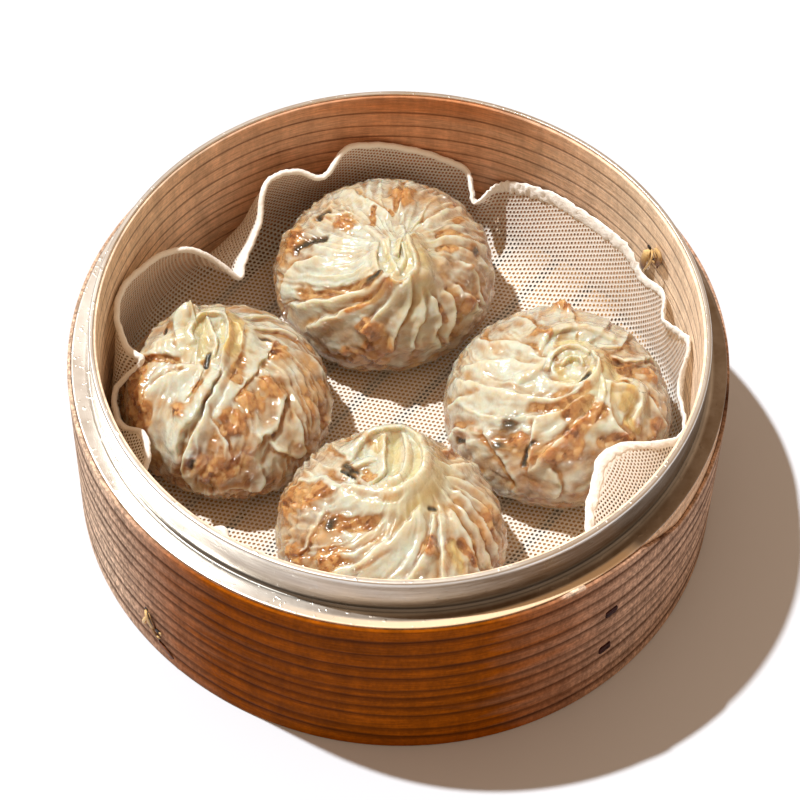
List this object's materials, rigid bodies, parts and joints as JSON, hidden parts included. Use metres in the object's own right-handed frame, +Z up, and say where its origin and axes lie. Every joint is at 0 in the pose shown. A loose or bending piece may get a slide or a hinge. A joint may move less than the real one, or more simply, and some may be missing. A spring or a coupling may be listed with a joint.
{
  "type": "shumai in a round steamer basket",
  "caption": "Pleated shumai with drawn-up crowns resting on a gauze liner in a round bent-wood steamer basket with a raised metal rim and a slatted floor.",
  "frame": {"origin": "centre of the circle that the basket's outer hoop stands on, at the height of the table", "axes": "+Z up out of the basket, +Y away from the viewer of the picture, +X to the viewer's right"},
  "size_m": [0.18, 0.18, 0.0709],
  "materials": {
    "cedar": "planed, bare",
    "cedar_veneer": "bare, with dark grain lines",
    "pale_wood": "bare, with fine grain lines",
    "rim_metal": "bright, satin, wet with small drops",
    "bamboo": "bare split bamboo",
    "dark_lacing": "dark dyed strip",
    "cane": "smooth split cane",
    "gauze": "open cotton gauze with a sewn hem",
    "wrapper": "wet, thin, translucent cooked dough over brown filling"
  },
  "bodies": {
    "root": {"outer_hoop": "cedar", "outer_wrap": "cedar_veneer", "inner_hoop": "pale_wood", "rim_band": "rim_metal", "slat_01": "bamboo", "slat_02": "bamboo", "slat_03": "bamboo", "slat_04": "bamboo", "slat_05": "bamboo", "slat_06": "bamboo", "slat_07": "bamboo", "slat_08": "bamboo", "slat_09": "bamboo", "slat_10": "bamboo", "slat_11": "bamboo", "slat_12": "bamboo", "cross_bar_1": "bamboo", "cross_bar_2": "bamboo", "stitch_upper": "dark_lacing", "stitch_lower": "dark_lacing", "cane_tie_outside": "cane", "cane_tie_inside": "cane", "gauze_liner": "gauze", "shumai_back": "wrapper", "shumai_left": "wrapper", "shumai_front": "wrapper", "shumai_right": "wrapper"}
  },
  "joints": []
}
